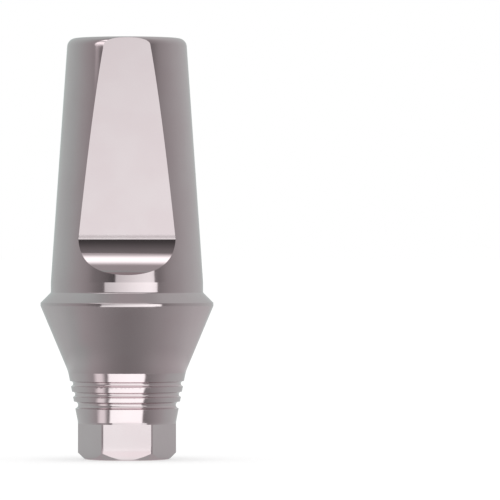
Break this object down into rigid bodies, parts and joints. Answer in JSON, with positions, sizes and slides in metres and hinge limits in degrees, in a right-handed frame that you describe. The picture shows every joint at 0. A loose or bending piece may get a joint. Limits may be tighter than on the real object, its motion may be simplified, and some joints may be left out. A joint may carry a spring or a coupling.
{
  "type": "transfer abutment",
  "caption": "Turned dental implant abutment: hexagon end, grooved sealing cone, flared cuff, collar, and a tapered post with a milled flat and a screw way through it.",
  "frame": {"origin": "centre of the hexagon's end face, at the bottom of the part", "axes": "+Z along the turning axis from the hexagon to the top of the post, -Y out of the milled flat, +X to the right when the flat faces the viewer"},
  "size_m": [0.005, 0.005, 0.0122],
  "materials": {
    "titanium": "satin turned and milled titanium"
  },
  "bodies": {
    "root": {"abutment_body": "titanium"}
  },
  "joints": []
}
